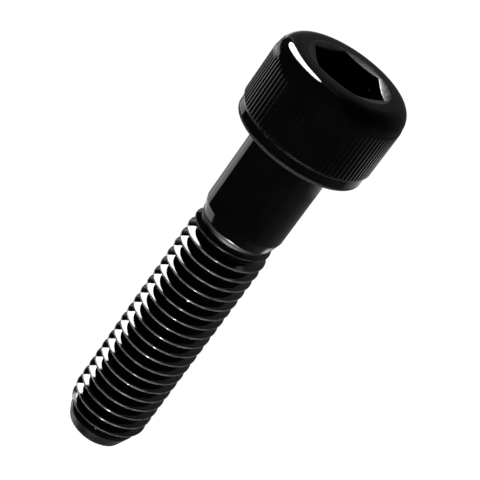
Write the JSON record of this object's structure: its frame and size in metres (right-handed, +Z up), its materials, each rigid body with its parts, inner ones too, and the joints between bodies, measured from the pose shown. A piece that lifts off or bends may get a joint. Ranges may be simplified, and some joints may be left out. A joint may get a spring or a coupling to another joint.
{
  "type": "socket head cap screw",
  "caption": "Black steel screw with a knurled cylindrical head, a hexagonal recess for a key, a plain shank and a right-hand thread with a tapered lead.",
  "frame": {"origin": "on the surface that the screw lies on, under the middle of its bounding box", "axes": "+Z up; the screw lies along X with its head at +X, its axis dipping 4.2 degrees from the head to the end"},
  "size_m": [0.0554, 0.0162, 0.0166],
  "materials": {
    "black_steel": "black oxide, lightly oiled, satin to glossy"
  },
  "bodies": {
    "root": {"screw": "black_steel"}
  },
  "joints": []
}
